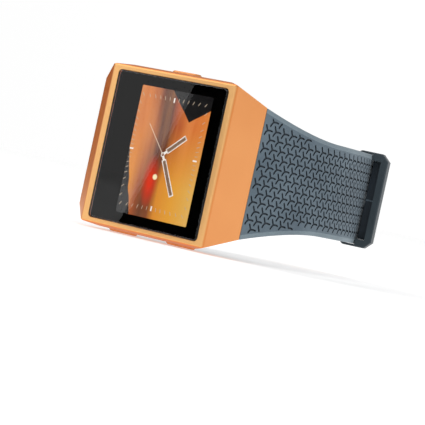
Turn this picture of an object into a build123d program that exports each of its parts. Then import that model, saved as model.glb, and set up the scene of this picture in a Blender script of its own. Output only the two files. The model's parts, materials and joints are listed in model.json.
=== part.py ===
from build123d import *
from math import asin, atan2, cos, degrees, hypot, pi, radians, sin, sqrt
import os

# A square-faced running watch lying on its side with its strap buckled into a loop.
# Millimetres. Origin: centre of the cover glass's outer face. +X points to 12 o'clock,
# +Y into the wrist and +Z, which is up, to 9 o'clock. The dial looks along -Y.

# ---------------------------------------------------------------- cover glass and display
GLASS_X, GLASS_Z, GLASS_T = 32.7, 34.8, 1.2     # outer size of the cover glass
GLASS_CORNER = 1.0
GLASS_BEVEL = 0.35
GLASS_GAP = 0.1                                 # round the glass in its seat
MASK_T = 0.05                                   # black ink frame behind the glass
ADHESIVE_T = 0.2
ACTIVE_X, ACTIVE_Z = 21.1, 29.7                 # lit picture
ACTIVE_AT_X = 1.7                               # the picture sits nearer 12 o'clock
PANEL_BORDER, PANEL_LEDGE, PANEL_T = 1.0, 3.2, 1.4
BACKLIGHT_T = 0.65

# ---------------------------------------------------------------- case
RIM_X, RIM_Z = 1.9, 1.1                         # rim showing beside the glass
RIM_DROP = 0.3                                  # the rim's front stands behind the glass face
FLANK_BULGE = 0.5                               # how far each flank swells past the front
LUG_RUN, LUG_Y = 5.85, 5.3                      # each lug slopes from the front's edge to here
LUG_TAPER = 4.1                                 # the slope's far edge is shorter by this at each end
LUG_LEAN = 0.2                                  # the lug's wrist-side edge is shorter still by this
LUG_UNDERCUT, LUG_END_Y = 3.1, 9.6              # the lug's end face leans in to its wrist-side edge
CASE_BACK_Y, CASE_BACK_IN_X, CASE_BACK_IN_Z = 10.3, 1.4, 1.3
FLANK_FROM, FLANK_TO = 3.0, 6.6                 # depth range where the flanks are widest
EDGE_ROUND, LUG_ROUND = 0.45, 1.6
SEAT_LEDGE_X, SEAT_LEDGE_Z = 1.2, 1.2           # ledge that carries the glass
CAVITY_END_Y = 8.8
FIT = 0.1                                       # clearance between plain fitted parts
BOSS, BOSS_FROM, BOSS_TO = 3.4, 3.55, 4.3
SCREW_R, SCREW_IN, SCREW_HEAD_R, SCREW_HEAD_T = 0.45, 0.1, 0.95, 0.5
VENT_R, VENT_DISC_R, VENT_DISC_T = 0.4, 1.3, 0.25

# ---------------------------------------------------------------- what the case holds
CHASSIS_T = 0.7
BOARD_FROM, BOARD_T, CHIP_T = BOSS_TO + CHASSIS_T, 0.6, 0.9
BOARD_X, BOARD_Z, BOARD_AT_X = 8.6, 25.0, 9.9
BATTERY_X, BATTERY_Z, BATTERY_AT_X, BATTERY_AT_Z = 18.4, 17.6, -4.4, -3.6
BATTERY_END = CAVITY_END_Y - 0.3
MOTOR_R, MOTOR_T, MOTOR_X, MOTOR_Z = 3.7, 2.6, -8.6, 9.3
ANTENNA_T, ANTENNA_Z = 0.5, 24.0

# ---------------------------------------------------------------- back
BACK_LIP_X, BACK_LIP_Z = 1.2, 0.6
BACK_GASKET_T = 0.15
BUMP_X, BUMP_Z, BUMP_Y, BUMP_CORNER, BUMP_BEVEL = 21.0, 19.0, 12.2, 6.0, 1.1
BUMP_WALL, BUMP_ROOF = 1.7, 1.3
WINDOW_X, WINDOW_Z, WINDOW_T, WINDOW_CORNER, WINDOW_LEDGE = 11.4, 9.4, 0.8, 2.6, 1.0
CONTACT_R, CONTACT_PITCH, CONTACT_Z, CONTACT_IN = 1.0, 3.2, 13.0, 0.6

# ---------------------------------------------------------------- buttons
BUTTON_X, BUTTON_Y = 8.0, 2.3                   # face of each side button
BUTTON_AT_Y, BUTTON_PAIR_X = 4.8, 8.7
BUTTON_PROUD, BUTTON_CAP, BUTTON_TRAVEL = 0.45, 1.55, 0.4
BUTTON_GAP = 0.1
STEM_R, STEM_GAP = 0.7, 0.06
SEAL_R = 0.25                                   # O-ring wire radius
DOME_R, DOME_T = 0.9, 0.5
SWITCH, SWITCH_T = 3.0, 0.9
CLIP_T, CLIP_R, CLIP_NECK_R = 0.26, 1.3, 0.45

# ---------------------------------------------------------------- strap
STRAP_HEADING = 22.0                            # of the strap's outer face as it leaves the lug
SIDE_R, SIDE_TURN = 58.0, 52.0                  # long arc down each side of the wrist
BACK_R = 16.7                                   # tight arc to the back of the wrist
ROOT_GAP = 0.08
UPPER_T, LOWER_T = 2.4, 2.0
UPPER_HALF, LOWER_HALF = 10.8, 9.4              # half widths past the taper
KNUCKLE_HALF = 9.6                              # half width where the buckle takes hold
NARROW_FROM_Y, NARROW_TO_Y = 55.5, 61.5         # depths between which the upper strap narrows to it
TAPER_Y = 25.7                                  # depth over which the strap narrows
TAIL_GAP = 0.2                                  # between the strap and the tail that lies on it
ROOT_BLEND = 24.0                               # strap length over which the root thins out
HOLE_L, HOLE_W, HOLE_PITCH, HOLES_BEFORE, HOLES_AFTER = 6.0, 2.6, 8.8, 3, 3
HOLE_SHIFT = 0.4                                # of the tang's hole from the middle of the ramp
RAMP_R, RAMP_LEAD = 6.4, 2.3

# ---------------------------------------------------------------- quick release
TONGUE_IN, TONGUE_OUT, TONGUE_T, TONGUE_Z = 2.6, 1.5, 1.7, 20.0
RELEASE_L, RELEASE_Z, RELEASE_T, RELEASE_TRAVEL = 3.2, 8.0, 1.2, 0.5
RELEASE_AT, RELEASE_PROUD, LEAF_T = 3.4, 0.25, 0.2

# ---------------------------------------------------------------- buckle and keeper
PIN_R, PIN_GAP, PIN_CAP = 0.6, 0.05, 0.45
KNUCKLE_LEAD = 2.5                              # straight strap before the buckle pin
ARM_T, ARM_GAP, ARM_BOSS_R = 1.3, 0.2, 1.5
BAR_R, BAR_REACH, BAR_OVER_STRAP = 1.15, 10.5, 0.55
TANG_W, TANG_T, TANG_EYE_R, TANG_GAP, TANG_TIP = 2.0, 0.9, 1.1, 0.06, 1.5
TANG_SLOT_GAP, TANG_EDGE = 0.2, 0.25
BUCKLE_EDGE = 0.4
KEEPER_W, KEEPER_FLOOR, KEEPER_ROOF, KEEPER_SIDE, KEEPER_GAP = 4.5, 0.9, 1.7, 0.5, 0.12
KEEPER_BEFORE_BEND = 1.49                       # strap between the keeper and the tight arc
KEEPER_BEVEL, KEEPER_CORNER, KEEPER_INNER_CORNER = 0.25, 1.6, 1.0
TIP_CUT = 0.6                                   # the tail tip's corners are cut off by this
TAIL_IN_KEEPER = 1.8                            # how far the tail's tip reaches into the keeper

# ---------------------------------------------------------------- sizes worked out from those above
seat_x, seat_z = GLASS_X + 2 * GLASS_GAP, GLASS_Z + 2 * GLASS_GAP
seat_y = GLASS_T + MASK_T + ADHESIVE_T
cavity_x, cavity_z = seat_x - 2 * SEAT_LEDGE_X, seat_z - 2 * SEAT_LEDGE_Z
front_x, front_z = GLASS_X + 2 * RIM_X, GLASS_Z + 2 * (RIM_Z + GLASS_GAP)
half_case = front_z / 2 + FLANK_BULGE
lug_x, lug_z = front_x / 2 + LUG_RUN, 2 * (half_case - LUG_TAPER)
lug_end_x = lug_x - LUG_UNDERCUT
half_back_x, half_back_z = lug_end_x - CASE_BACK_IN_X, half_case - CASE_BACK_IN_Z
recess_x, recess_z = cavity_x + 2 * BACK_LIP_X, cavity_z + 2 * BACK_LIP_Z
cover_y = CAVITY_END_Y + BACK_GASKET_T
window_hole_x, window_hole_z = WINDOW_X - 2 * WINDOW_LEDGE, WINDOW_Z - 2 * WINDOW_LEDGE
panel_front = GLASS_T + MASK_T
panel_back = panel_front + PANEL_T
back_turn = 90.0 - (SIDE_TURN - STRAP_HEADING)  # left to turn once the side arc ends
lug_length = hypot(lug_end_x - lug_x, LUG_END_Y - LUG_Y)
out_x, out_y = (LUG_END_Y - LUG_Y) / lug_length, (lug_x - lug_end_x) / lug_length


# ================================================================ helpers
def slab(size_x, size_z, y0, y1, x=0.0, z=0.0, corner=0.0):
    """A plate square to the dial from depth y0 to y1, with rounded corners."""
    plate = Pos(x, (y0 + y1) / 2, z) * Box(size_x, y1 - y0, size_z)
    return fillet(plate.edges().filter_by(Axis.Y), corner) if corner else plate


def disc(radius, y0, y1, x=0.0, z=0.0):
    """A round plate square to the dial."""
    return Pos(x, (y0 + y1) / 2, z) * Rot(90, 0, 0) * Cylinder(radius, y1 - y0)


def rod(radius, z0, z1, x=0.0, y=0.0):
    """A round bar along Z."""
    return Pos(x, y, (z0 + z1) / 2) * Cylinder(radius, z1 - z0)


def pill(length, width, z0, z1, x=0.0, y=0.0):
    """A bar along Z with a stadium section whose long side lies along X."""
    return extrude(Pos(x, y, z0) * SlotOverall(length, width), z1 - z0)


def prism(points, half_z):
    """The outline through the XY points, as tall as half_z each way."""
    return extrude(make_face(Polyline(*points, close=True)), half_z, both=True)


def other_end(shape):
    """The same part at the 6 o'clock end."""
    return mirror(shape, Plane.YZ)


def other_side(shape):
    """The same part on the 3 o'clock side."""
    return mirror(shape, Plane.XY)


class Route:
    """A line of arcs and straights in the XY plane that a strap's outer face follows.

    Headings are in degrees from +Y towards +X. outside is 1 where the wrist is on the
    left of the way the line runs, and -1 where it is on the right."""

    def __init__(self, x, y, heading, outside):
        self.outside, self.steps, self.length = outside, [], 0.0
        self.x, self.y, self.heading = x, y, radians(heading)

    def go(self, length, curvature=0.0):
        self.steps.append((self.length, length, self.x, self.y, self.heading, curvature))
        self.length += length
        self.x, self.y, self.heading = self.at(self.length)
        return self

    def line(self, length):
        return self.go(length)

    def arc(self, radius, turn):
        """Turns by that many degrees, left if positive, with the outer face at radius."""
        bend = radians(abs(turn))
        return self.go(radius * bend, (1 if turn > 0 else -1) / radius)

    def at(self, s, out=0.0):
        """The point s along the line and out proud of it, and the heading there."""
        step = next((p for p in self.steps if s <= p[0] + p[1] + 1e-9), self.steps[-1])
        began, _, x, y, heading, curvature = step
        run = s - began
        now = heading - curvature * run
        if curvature:
            x += (cos(now) - cos(heading)) / curvature
            y += (sin(heading) - sin(now)) / curvature
        else:
            x, y = x + run * sin(heading), y + run * cos(heading)
        return x + self.outside * out * cos(now), y - self.outside * out * sin(now), now

    def curve(self, out, s0, s1):
        """The edges of the line between s0 and s1, moved out by that much."""
        edges = []
        for began, length, _, _, _, curvature in self.steps:
            a, b = max(s0, began), min(s1, began + length)
            if b - a < 1e-6:
                continue
            ends = self.at(a + 1e-9, out)[:2], self.at(b, out)[:2]
            middle = self.at((a + b) / 2, out)[:2]
            edges.append(ThreePointArc(ends[0], middle, ends[1]) if curvature else Line(*ends))
        return edges

    def plane(self, s, out=0.0):
        """A plane on the strap: X along it, Z out of it."""
        x, y, heading = self.at(s, out)
        normal = (self.outside * cos(heading), -self.outside * sin(heading), 0)
        return Plane(origin=(x, y, 0), x_dir=(sin(heading), cos(heading), 0), z_dir=normal)


def band(route, thickness, s0, s1, half):
    """A strap of even thickness and width between two places on its route."""
    outer = route.curve(0, s0, s1)
    inner = route.curve(-thickness, s0, s1)
    ends = [Line(route.at(s, 0)[:2], route.at(s, -thickness)[:2]) for s in (s0 + 1e-9, s1)]
    return extrude(make_face(outer + inner + ends), half, both=True)


# ================================================================ strap routes
root_x, root_y = lug_x + ROOT_GAP * out_x, LUG_Y + ROOT_GAP * out_y
upper_route = Route(root_x, root_y, STRAP_HEADING, 1)
upper_route.arc(SIDE_R, SIDE_TURN).arc(BACK_R, back_turn).line(KNUCKLE_LEAD)
side_length = SIDE_R * radians(SIDE_TURN)
back_x, back_y, _ = upper_route.at(side_length + BACK_R * radians(back_turn))
pin_x, pin_y = back_x - KNUCKLE_LEAD, back_y - UPPER_T / 2
side_cx = root_x - SIDE_R * cos(radians(STRAP_HEADING))
side_cy = root_y + SIDE_R * sin(radians(STRAP_HEADING))

# The tail climbs from the upper strap's level to lie on top of it.
tail_rise = TAIL_GAP + LOWER_T
ramp_turn = degrees(2 * asin(sqrt(tail_rise / (4 * RAMP_R))))
ramp_length = 2 * RAMP_R * sin(radians(ramp_turn))
tail_r = BACK_R + tail_rise
lower_route = Route(-root_x, root_y, -STRAP_HEADING, -1)
lower_route.arc(SIDE_R, -SIDE_TURN).arc(BACK_R, -back_turn).line(RAMP_LEAD)
ramp_at = lower_route.length
lower_route.arc(RAMP_R, ramp_turn).arc(RAMP_R, -ramp_turn)
ramp_end = lower_route.length
lower_route.line(2 * back_x - RAMP_LEAD - ramp_length).arc(tail_r, -back_turn)
tail_angle = (KEEPER_BEFORE_BEND + TAIL_IN_KEEPER) / SIDE_R
lower_route.arc(SIDE_R + tail_rise, -degrees(tail_angle))


# ================================================================ case
def lug_trim():
    """Material to take off beside the 12 o'clock lug: all beyond its slope's end edge, leaning in."""
    front_corner = Vector(front_x / 2, RIM_DROP, front_z / 2)
    lug_corner = Vector(lug_x, LUG_Y, lug_z / 2)
    wrist_corner = Vector(lug_end_x, LUG_END_Y, lug_z / 2 - LUG_LEAN)
    outward = (wrist_corner - lug_corner).cross(front_corner - lug_corner)
    size = 2 * lug_x
    return Plane(origin=lug_corner, z_dir=outward) * Pos(0, 0, size / 2) * Box(size, size, size)


def case_outer():
    half_front = front_x / 2
    side = [(half_front, RIM_DROP), (lug_x, LUG_Y), (lug_end_x, LUG_END_Y), (half_back_x, CASE_BACK_Y)]
    body = prism(side + [(-x, y) for x, y in reversed(side)], half_case)
    flank = [(RIM_DROP, front_z / 2), (FLANK_FROM, half_case), (FLANK_TO, half_case),
             (CASE_BACK_Y, half_back_z)]
    section = flank + [(y, -z) for y, z in reversed(flank)]
    body &= extrude(Plane.YZ * make_face(Polyline(*section, close=True)), lug_x + 1, both=True)
    front = body.faces().sort_by(Axis.Y)[0]
    body = fillet(front.edges().filter_by(Axis.Z), LUG_ROUND)
    front = body.faces().sort_by(Axis.Y)[0]
    body = fillet(front.edges().filter_by(Axis.X), EDGE_ROUND)
    trim = lug_trim()
    for end in (trim, other_end(trim)):
        body -= end + other_side(end)
    return body


def button_sites():
    """Name, place along X and whether it is on the 3 o'clock side."""
    return [("back", 0.0, False), ("top", BUTTON_PAIR_X, True), ("bottom", -BUTTON_PAIR_X, True)]


pocket_floor = half_case - BUTTON_CAP
cap_top = half_case + BUTTON_PROUD
cap_bottom = pocket_floor + BUTTON_TRAVEL + 0.05
clip_top = cavity_z / 2 - 0.04
clip_bottom = clip_top - CLIP_T
stem_tip = clip_bottom - 0.3
dome_base = stem_tip - DOME_T
seal_ring_r = STEM_R + SEAL_R + 0.01
seal_bore_r = seal_ring_r + SEAL_R + 0.03
seal_depth = 2 * SEAL_R + 0.1


def button_hole():
    pocket = pill(BUTTON_X + 2 * BUTTON_GAP, BUTTON_Y + 2 * BUTTON_GAP, pocket_floor, half_case + 1)
    bore = rod(STEM_R + STEM_GAP, cavity_z / 2 - 1, pocket_floor + 0.1)
    return pocket + bore + rod(seal_bore_r, pocket_floor - seal_depth, pocket_floor + 0.1)


def place_button(shape, x, on_other_side):
    moved = Pos(x, BUTTON_AT_Y, 0) * shape
    return other_side(moved) if on_other_side else moved


def lug_frame():
    """A plane at the middle of the lug's end face: X out of it, Y towards the wrist."""
    middle = ((lug_x + lug_end_x) / 2, (LUG_Y + LUG_END_Y) / 2, 0)
    return Plane(origin=middle, x_dir=(out_x, out_y, 0), z_dir=(0, 0, 1))


def tongue_box(extra, reach_in, reach_out):
    """The quick-release tongue, or with extra the room for it."""
    length = reach_in + reach_out
    centre = Pos((reach_out - reach_in) / 2, 0, 0)
    box = centre * Box(length, TONGUE_T + 2 * extra, TONGUE_Z + 2 * extra)
    return lug_frame() * box


def case_body():
    body = case_outer()
    body -= slab(seat_x, seat_z, -1, seat_y, corner=GLASS_CORNER)
    body -= slab(cavity_x, cavity_z, seat_y - 0.1, CAVITY_END_Y + 0.1, corner=1.2)
    body -= slab(recess_x, recess_z, CAVITY_END_Y, CASE_BACK_Y + 1, corner=1.6)
    for x in (-1, 1):
        for z in (-1, 1):
            at_x, at_z = x * (cavity_x - BOSS) / 2, z * (cavity_z - BOSS) / 2
            body += slab(BOSS + 0.2, BOSS + 0.2, BOSS_FROM, BOSS_TO, at_x + 0.1 * x, at_z + 0.1 * z)
            body -= disc(SCREW_R, BOSS_FROM + 0.1, BOSS_TO + 0.1, at_x - x * SCREW_IN, at_z - z * SCREW_IN)
    for _, x, far in button_sites():
        body -= place_button(button_hole(), x, far)
    slot = tongue_box(FIT, TONGUE_IN + FIT, 1.0)
    body -= slot + other_end(slot)
    body -= rod(VENT_R, -half_case - 1, -cavity_z / 2 + 0.1, 0, BUTTON_AT_Y)
    return body


# ================================================================ glass and display
def cover_glass():
    glass = slab(GLASS_X, GLASS_Z, 0, GLASS_T, corner=GLASS_CORNER)
    return chamfer(glass.faces().sort_by(Axis.Y)[0].edges(), GLASS_BEVEL)


def frame_plate(outer_x, outer_z, inner_x, inner_z, y0, y1, inner_at_x=0.0, corner=1.0):
    """A flat ring between two rounded rectangles."""
    hole = slab(inner_x, inner_z, y0 - 1, y1 + 1, x=inner_at_x, corner=0.3)
    return slab(outer_x, outer_z, y0, y1, corner=corner) - hole


def display_parts():
    border_x = cavity_x - 0.3
    mask = frame_plate(GLASS_X - 0.6, GLASS_Z - 0.6, ACTIVE_X, ACTIVE_Z, GLASS_T, panel_front,
                       inner_at_x=ACTIVE_AT_X)
    glue = frame_plate(GLASS_X - 0.2, GLASS_Z - 0.2, border_x + 0.5, cavity_z + 0.2,
                       panel_front, seat_y)
    right = ACTIVE_AT_X + ACTIVE_X / 2 + PANEL_BORDER
    left = ACTIVE_AT_X - ACTIVE_X / 2 - PANEL_LEDGE
    centre, width = (left + right) / 2, right - left
    panel = slab(width, ACTIVE_Z + 2 * PANEL_BORDER, panel_front, panel_back, x=centre, corner=0.4)
    light = slab(width - 0.6, ACTIVE_Z + 1.2, panel_back, panel_back + BACKLIGHT_T, x=centre, corner=0.4)
    coil = frame_plate(width - 2, ACTIVE_Z - 2, width - 6, ACTIVE_Z - 6,
                       panel_back + BACKLIGHT_T, panel_back + BACKLIGHT_T + 0.1, corner=1.5)
    flex = slab(0.15, 6.0, panel_back - 0.5, BOARD_FROM, x=right + 0.075)
    return {"display_mask": mask, "glass_adhesive": glue, "display_panel": panel,
            "display_backlight": light, "nfc_antenna": Pos(centre, 0, 0) * coil, "display_flex": flex}


# ================================================================ what the case holds
def chassis():
    plate = slab(cavity_x - 2 * FIT, cavity_z - 2 * FIT, BOSS_TO, BOSS_TO + CHASSIS_T, corner=1.2)
    notch = slab(SWITCH + 0.6, 4.0, -1, 1.5, z=dome_base - SWITCH_T + 2.0)
    for _, x, far in button_sites():
        plate -= place_button(notch, x, far)
    plate -= slab(2 * VENT_DISC_R + 0.4, 2.0, BOSS_TO - 1, BOSS_TO + 2, z=-cavity_z / 2)
    plate -= slab(0.7, 7.0, BOSS_TO - 1, BOSS_TO + 2, x=ACTIVE_AT_X + ACTIVE_X / 2 + PANEL_BORDER + 0.15)
    for x, z in screw_sites():
        plate -= disc(SCREW_R + 0.15, BOSS_TO - 1, BOSS_TO + 2, x, z)
    return plate


def screw_sites():
    at_x = (cavity_x - BOSS) / 2 - SCREW_IN
    at_z = (cavity_z - BOSS) / 2 - SCREW_IN
    return [(x * at_x, z * at_z) for x in (-1, 1) for z in (-1, 1)]


def chassis_screws():
    top = BOSS_TO + CHASSIS_T
    screws = []
    for x, z in screw_sites():
        head = disc(SCREW_HEAD_R, top, top + SCREW_HEAD_T, x, z)
        head -= slab(0.3, 1.2, top + 0.25, top + 1, x=x, z=z)
        screws.append(head + disc(SCREW_R - 0.02, BOSS_FROM + 0.2, top, x, z))
    return Compound(screws)


def board_parts():
    board = slab(BOARD_X, BOARD_Z, BOARD_FROM, BOARD_FROM + BOARD_T, x=BOARD_AT_X, corner=0.5)
    y0, y1 = BOARD_FROM + BOARD_T, BOARD_FROM + BOARD_T + CHIP_T
    processor = slab(6.0, 6.0, y0, y1, x=BOARD_AT_X, z=0)
    receiver = slab(4.0, 4.0, y0, y1 - 0.1, x=BOARD_AT_X - 1.5, z=7.5)
    shield = slab(7.4, 5.2, y0, y1 + 0.3, x=BOARD_AT_X, z=-8.6, corner=0.6)
    shield -= slab(7.0, 4.8, y0 - 1, y1 + 0.1, x=BOARD_AT_X, z=-8.6, corner=0.4)
    small = [slab(1.6, 0.9, y0, y0 + 0.5, x=BOARD_AT_X + 2.6, z=z) for z in (6.0, 7.6, 9.2)]
    radio = slab(3.4, 2.6, y0, y0 + 0.8, x=BOARD_AT_X, z=-8.6)
    return {"main_board": board, "processor_chip": processor, "satellite_receiver_chip": receiver,
            "radio_shield": shield, "radio_chip": radio, "board_capacitors": Compound(small)}


def inner_parts():
    chassis_top = BOSS_TO + CHASSIS_T
    battery = slab(BATTERY_X, BATTERY_Z, chassis_top, BATTERY_END,
                   x=BATTERY_AT_X, z=BATTERY_AT_Z, corner=1.2)
    motor = disc(MOTOR_R, chassis_top, chassis_top + MOTOR_T, MOTOR_X, MOTOR_Z)
    antenna = slab(ANTENNA_T, ANTENNA_Z, chassis_top + 0.2, BATTERY_END, x=(ANTENNA_T - cavity_x) / 2)
    vent = rod(VENT_DISC_R, -cavity_z / 2, -cavity_z / 2 + VENT_DISC_T, 0, BUTTON_AT_Y + 0.4)
    return {"battery": battery, "vibration_motor": motor, "satellite_antenna": antenna,
            "pressure_vent_membrane": vent}


# ================================================================ back cover and sensor
def back_cover():
    cover = slab(recess_x - 2 * FIT, recess_z - 2 * FIT, cover_y, CASE_BACK_Y, corner=1.5)
    bump = slab(BUMP_X, BUMP_Z, CASE_BACK_Y - 0.5, BUMP_Y, corner=BUMP_CORNER)
    bump = chamfer(bump.faces().sort_by(Axis.Y)[-1].edges(), BUMP_BEVEL)
    hollow_x, hollow_z = BUMP_X - 2 * BUMP_WALL, BUMP_Z - 2 * BUMP_WALL
    cover = cover + bump
    cover -= slab(hollow_x, hollow_z, cover_y - 1, BUMP_Y - BUMP_ROOF, corner=BUMP_CORNER - BUMP_WALL)
    cover -= slab(window_hole_x, window_hole_z, BUMP_Y - BUMP_ROOF - 1, BUMP_Y + 1, corner=1.6)
    cover -= slab(WINDOW_X + 2 * FIT, WINDOW_Z + 2 * FIT, BUMP_Y - WINDOW_T, BUMP_Y + 1,
                  corner=WINDOW_CORNER + FIT)
    for x in contact_sites():
        cover -= disc(CONTACT_R, cover_y - 1, CASE_BACK_Y + 1, x, CONTACT_Z)
    return cover


def contact_sites():
    return [-CONTACT_PITCH, 0.0, CONTACT_PITCH]


def sensor_parts():
    window = slab(WINDOW_X, WINDOW_Z, BUMP_Y - WINDOW_T, BUMP_Y, corner=WINDOW_CORNER)
    hollow_x, hollow_z = BUMP_X - 2 * BUMP_WALL - 0.6, BUMP_Z - 2 * BUMP_WALL - 0.6
    y0 = cover_y + 0.2
    board = slab(hollow_x, hollow_z, y0, y0 + 0.5, corner=3.8)
    y1, y2 = y0 + 0.5, BUMP_Y - BUMP_ROOF
    leds = [slab(1.4, 1.4, y1, y1 + 0.5, z=z) for z in (-1.3, 1.3)]
    eyes = [slab(2.2, 2.6, y1, y1 + 0.4, x=x) for x in (-3.0, 3.0)]
    baffle = slab(hollow_x - 2, hollow_z - 2, y1, y2, corner=3.0)
    baffle -= slab(2.0, 5.0, y1 - 1, y2 + 1)
    for x in (-3.0, 3.0):
        baffle -= slab(2.8, 3.2, y1 - 1, y2 + 1, x=x)
    contacts = [disc(CONTACT_R, cover_y - CONTACT_IN, CASE_BACK_Y, x, CONTACT_Z) for x in contact_sites()]
    magnets = [slab(3.6, 2.8, cover_y - 1.0, cover_y, x=x, z=CONTACT_Z) for x in (-8.0, 8.0)]
    gasket = frame_plate(recess_x - 0.4, recess_z - 0.2, cavity_x + 0.6, cavity_z + 0.3,
                         CAVITY_END_Y, cover_y, corner=1.4)
    return {"sensor_window": window, "sensor_board": board, "sensor_leds": Compound(leds),
            "sensor_photodiodes": Compound(eyes), "sensor_light_baffle": baffle,
            "charging_contacts": Compound(contacts), "charging_magnets": Compound(magnets),
            "back_gasket": gasket}


# ================================================================ buttons
def button_parts():
    cap = pill(BUTTON_X, BUTTON_Y, cap_bottom, cap_top)
    cap = chamfer(cap.faces().sort_by(Axis.Z)[-1].edges(), 0.3)
    stem = rod(STEM_R, stem_tip, cap_bottom + 0.1)
    neck = rod(STEM_R + 1, clip_bottom - 0.02, clip_top + 0.02) - rod(CLIP_NECK_R, 0, cap_top)
    button = cap + (stem - neck)
    seal = Pos(0, 0, pocket_floor - SEAL_R - 0.05) * Torus(seal_ring_r, SEAL_R)
    clip = rod(CLIP_R, clip_bottom, clip_top) - rod(CLIP_NECK_R + 0.02, 0, cap_top)
    clip -= Pos(CLIP_R, 0, (clip_bottom + clip_top) / 2) * Box(2 * CLIP_R, 0.8, 1)
    dome = rod(DOME_R, dome_base, stem_tip)
    dome = chamfer(dome.faces().sort_by(Axis.Z)[-1].edges(), 0.25)
    switch = Pos(0, 0, dome_base - SWITCH_T / 2) * Box(SWITCH, 2.4, SWITCH_T)
    made = {}
    for name, x, far in button_sites():
        for part, shape in (("button", button), ("button_seal", seal), ("button_clip", clip),
                            ("button_dome", dome)):
            made[f"{name}_{part}"] = place_button(shape, x, far)
    made["button_switches"] = Compound([place_button(switch, x, far) for _, x, far in button_sites()])
    return made


# ================================================================ strap
def width_envelope(half, end_half):
    """Everything as wide as the strap at each depth: it narrows in one arc from the lug, then once more."""
    drop = lug_z / 2 - half
    radius = (TAPER_Y ** 2 + drop ** 2) / (2 * drop)
    start_y, end_y, beyond = LUG_Y - 1, LUG_Y + TAPER_Y, back_y + 10

    def at(y, side):
        return y, side * (half + radius - sqrt(radius ** 2 - (end_y - y) ** 2))

    edges = []
    for side in (-1, 1):
        even = [at(end_y, side), (NARROW_FROM_Y, side * half), (NARROW_TO_Y, side * end_half),
                (beyond, side * end_half)]
        edges += [ThreePointArc(at(start_y, side), at((start_y + end_y) / 2, side), at(end_y, side)),
                  Polyline(*even)]
    edges += [Line((beyond, -end_half), (beyond, end_half)), Line(at(start_y, -1), at(start_y, 1))]
    return extrude(Plane.YZ * make_face(edges), 100, both=True)


def strap_root(route, thickness):
    """The thick end of a strap, from the lug's end face to where it has its even thickness."""
    sign = route.outside
    corner = (sign * (lug_end_x + ROOT_GAP * out_x), LUG_END_Y + ROOT_GAP * out_y)
    x, y, heading = route.at(ROOT_BLEND, -thickness)
    inner = TangentArc((x, y), corner, tangent=(-sin(heading), -cos(heading)))
    outer = route.curve(0, 0, ROOT_BLEND)
    ends = [Line(route.at(ROOT_BLEND)[:2], (x, y)), Line(corner, route.at(1e-9)[:2])]
    return extrude(make_face(outer + [inner] + ends), lug_z, both=True)


def release_plane():
    """On the wrist side of the upper strap's root: X along the strap, Z into it."""
    x, y, heading = upper_route.at(ROOT_BLEND, -UPPER_T)
    corner_x, corner_y = lug_end_x + ROOT_GAP * out_x, LUG_END_Y + ROOT_GAP * out_y
    chord = hypot(x - corner_x, y - corner_y)
    along = ((x - corner_x) / chord, (y - corner_y) / chord)
    inward = (along[1], -along[0], 0)
    # The root's inner face bows by this much between its ends, at the button's place.
    bend = 2 * (atan2(along[0], along[1]) - heading)
    radius = chord / (2 * sin(bend / 2)) if abs(bend) > 1e-6 else 1e9
    bow = RELEASE_AT * (chord - RELEASE_AT) / (2 * radius)
    origin = (corner_x + RELEASE_AT * along[0] + bow * inward[0],
              corner_y + RELEASE_AT * along[1] + bow * inward[1], 0)
    return Plane(origin=origin, x_dir=(*along, 0), z_dir=inward)


def release_parts():
    """Button, its room in the strap and its leaf spring, at the 12 o'clock end."""
    plane = release_plane()
    depth = RELEASE_T - RELEASE_PROUD
    room = depth + RELEASE_TRAVEL + LEAF_T + 0.05
    button = Pos(0, 0, RELEASE_T / 2 - RELEASE_PROUD) * Box(RELEASE_L, RELEASE_Z, RELEASE_T)
    button = fillet(button.edges().filter_by(Axis.Z), 0.9)
    button = chamfer(button.faces().sort_by(Axis.Z)[0].edges(), 0.2)
    pocket = Pos(0, 0, room / 2 - 1) * Box(RELEASE_L + 2 * FIT, RELEASE_Z + 2 * FIT, room + 2)
    pocket = fillet(pocket.edges().filter_by(Axis.Z), 0.9)
    leaf = Pos(0, 0, room - LEAF_T / 2) * Box(RELEASE_L - 0.8, RELEASE_Z - 1.6, LEAF_T)
    return plane * button, plane * pocket, plane * leaf


def pad(route, thickness, half, end_half):
    """Root and even stretch of one strap, cut to width."""
    even = band(route, thickness, ROOT_BLEND, route.length, half + 20)
    return (strap_root(route, thickness) + even) & width_envelope(half, end_half)


def upper_strap(pocket):
    strap = pad(upper_route, UPPER_T, UPPER_HALF, KNUCKLE_HALF)
    strap += rod(UPPER_T / 2, -KNUCKLE_HALF, KNUCKLE_HALF, pin_x, pin_y)
    strap -= rod(PIN_R + PIN_GAP, -KNUCKLE_HALF - 1, KNUCKLE_HALF + 1, pin_x, pin_y)
    slot = TANG_W + 2 * TANG_SLOT_GAP
    strap -= Pos(pin_x - 1, pin_y, 0) * Box(2 + 2 * (TANG_EYE_R + TANG_SLOT_GAP), 2 * UPPER_T, slot)
    return strap - pocket - tongue_box(0, 1.0, TONGUE_OUT)


def hole_sites():
    middle = (ramp_at + ramp_end) / 2 + HOLE_SHIFT
    return [middle + k * HOLE_PITCH for k in range(-HOLES_BEFORE, HOLES_AFTER + 1)]


def lower_strap(pocket):
    strap = pad(lower_route, LOWER_T, LOWER_HALF, LOWER_HALF)
    for s in hole_sites():
        strap -= lower_route.plane(s) * extrude(SlotOverall(HOLE_L, HOLE_W), 2 * LOWER_T, both=True)
    tip = lower_route.plane(lower_route.length)
    corner_cut = Rot(0, 0, 45) * Box(2 * TIP_CUT, 2 * TIP_CUT, 3 * LOWER_T)
    for z in (-1, 1):
        strap -= tip * (Pos(0, z * LOWER_HALF, 0) * corner_cut)
    return strap - other_end(pocket) - other_end(tongue_box(0, 1.0, TONGUE_OUT))


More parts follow.
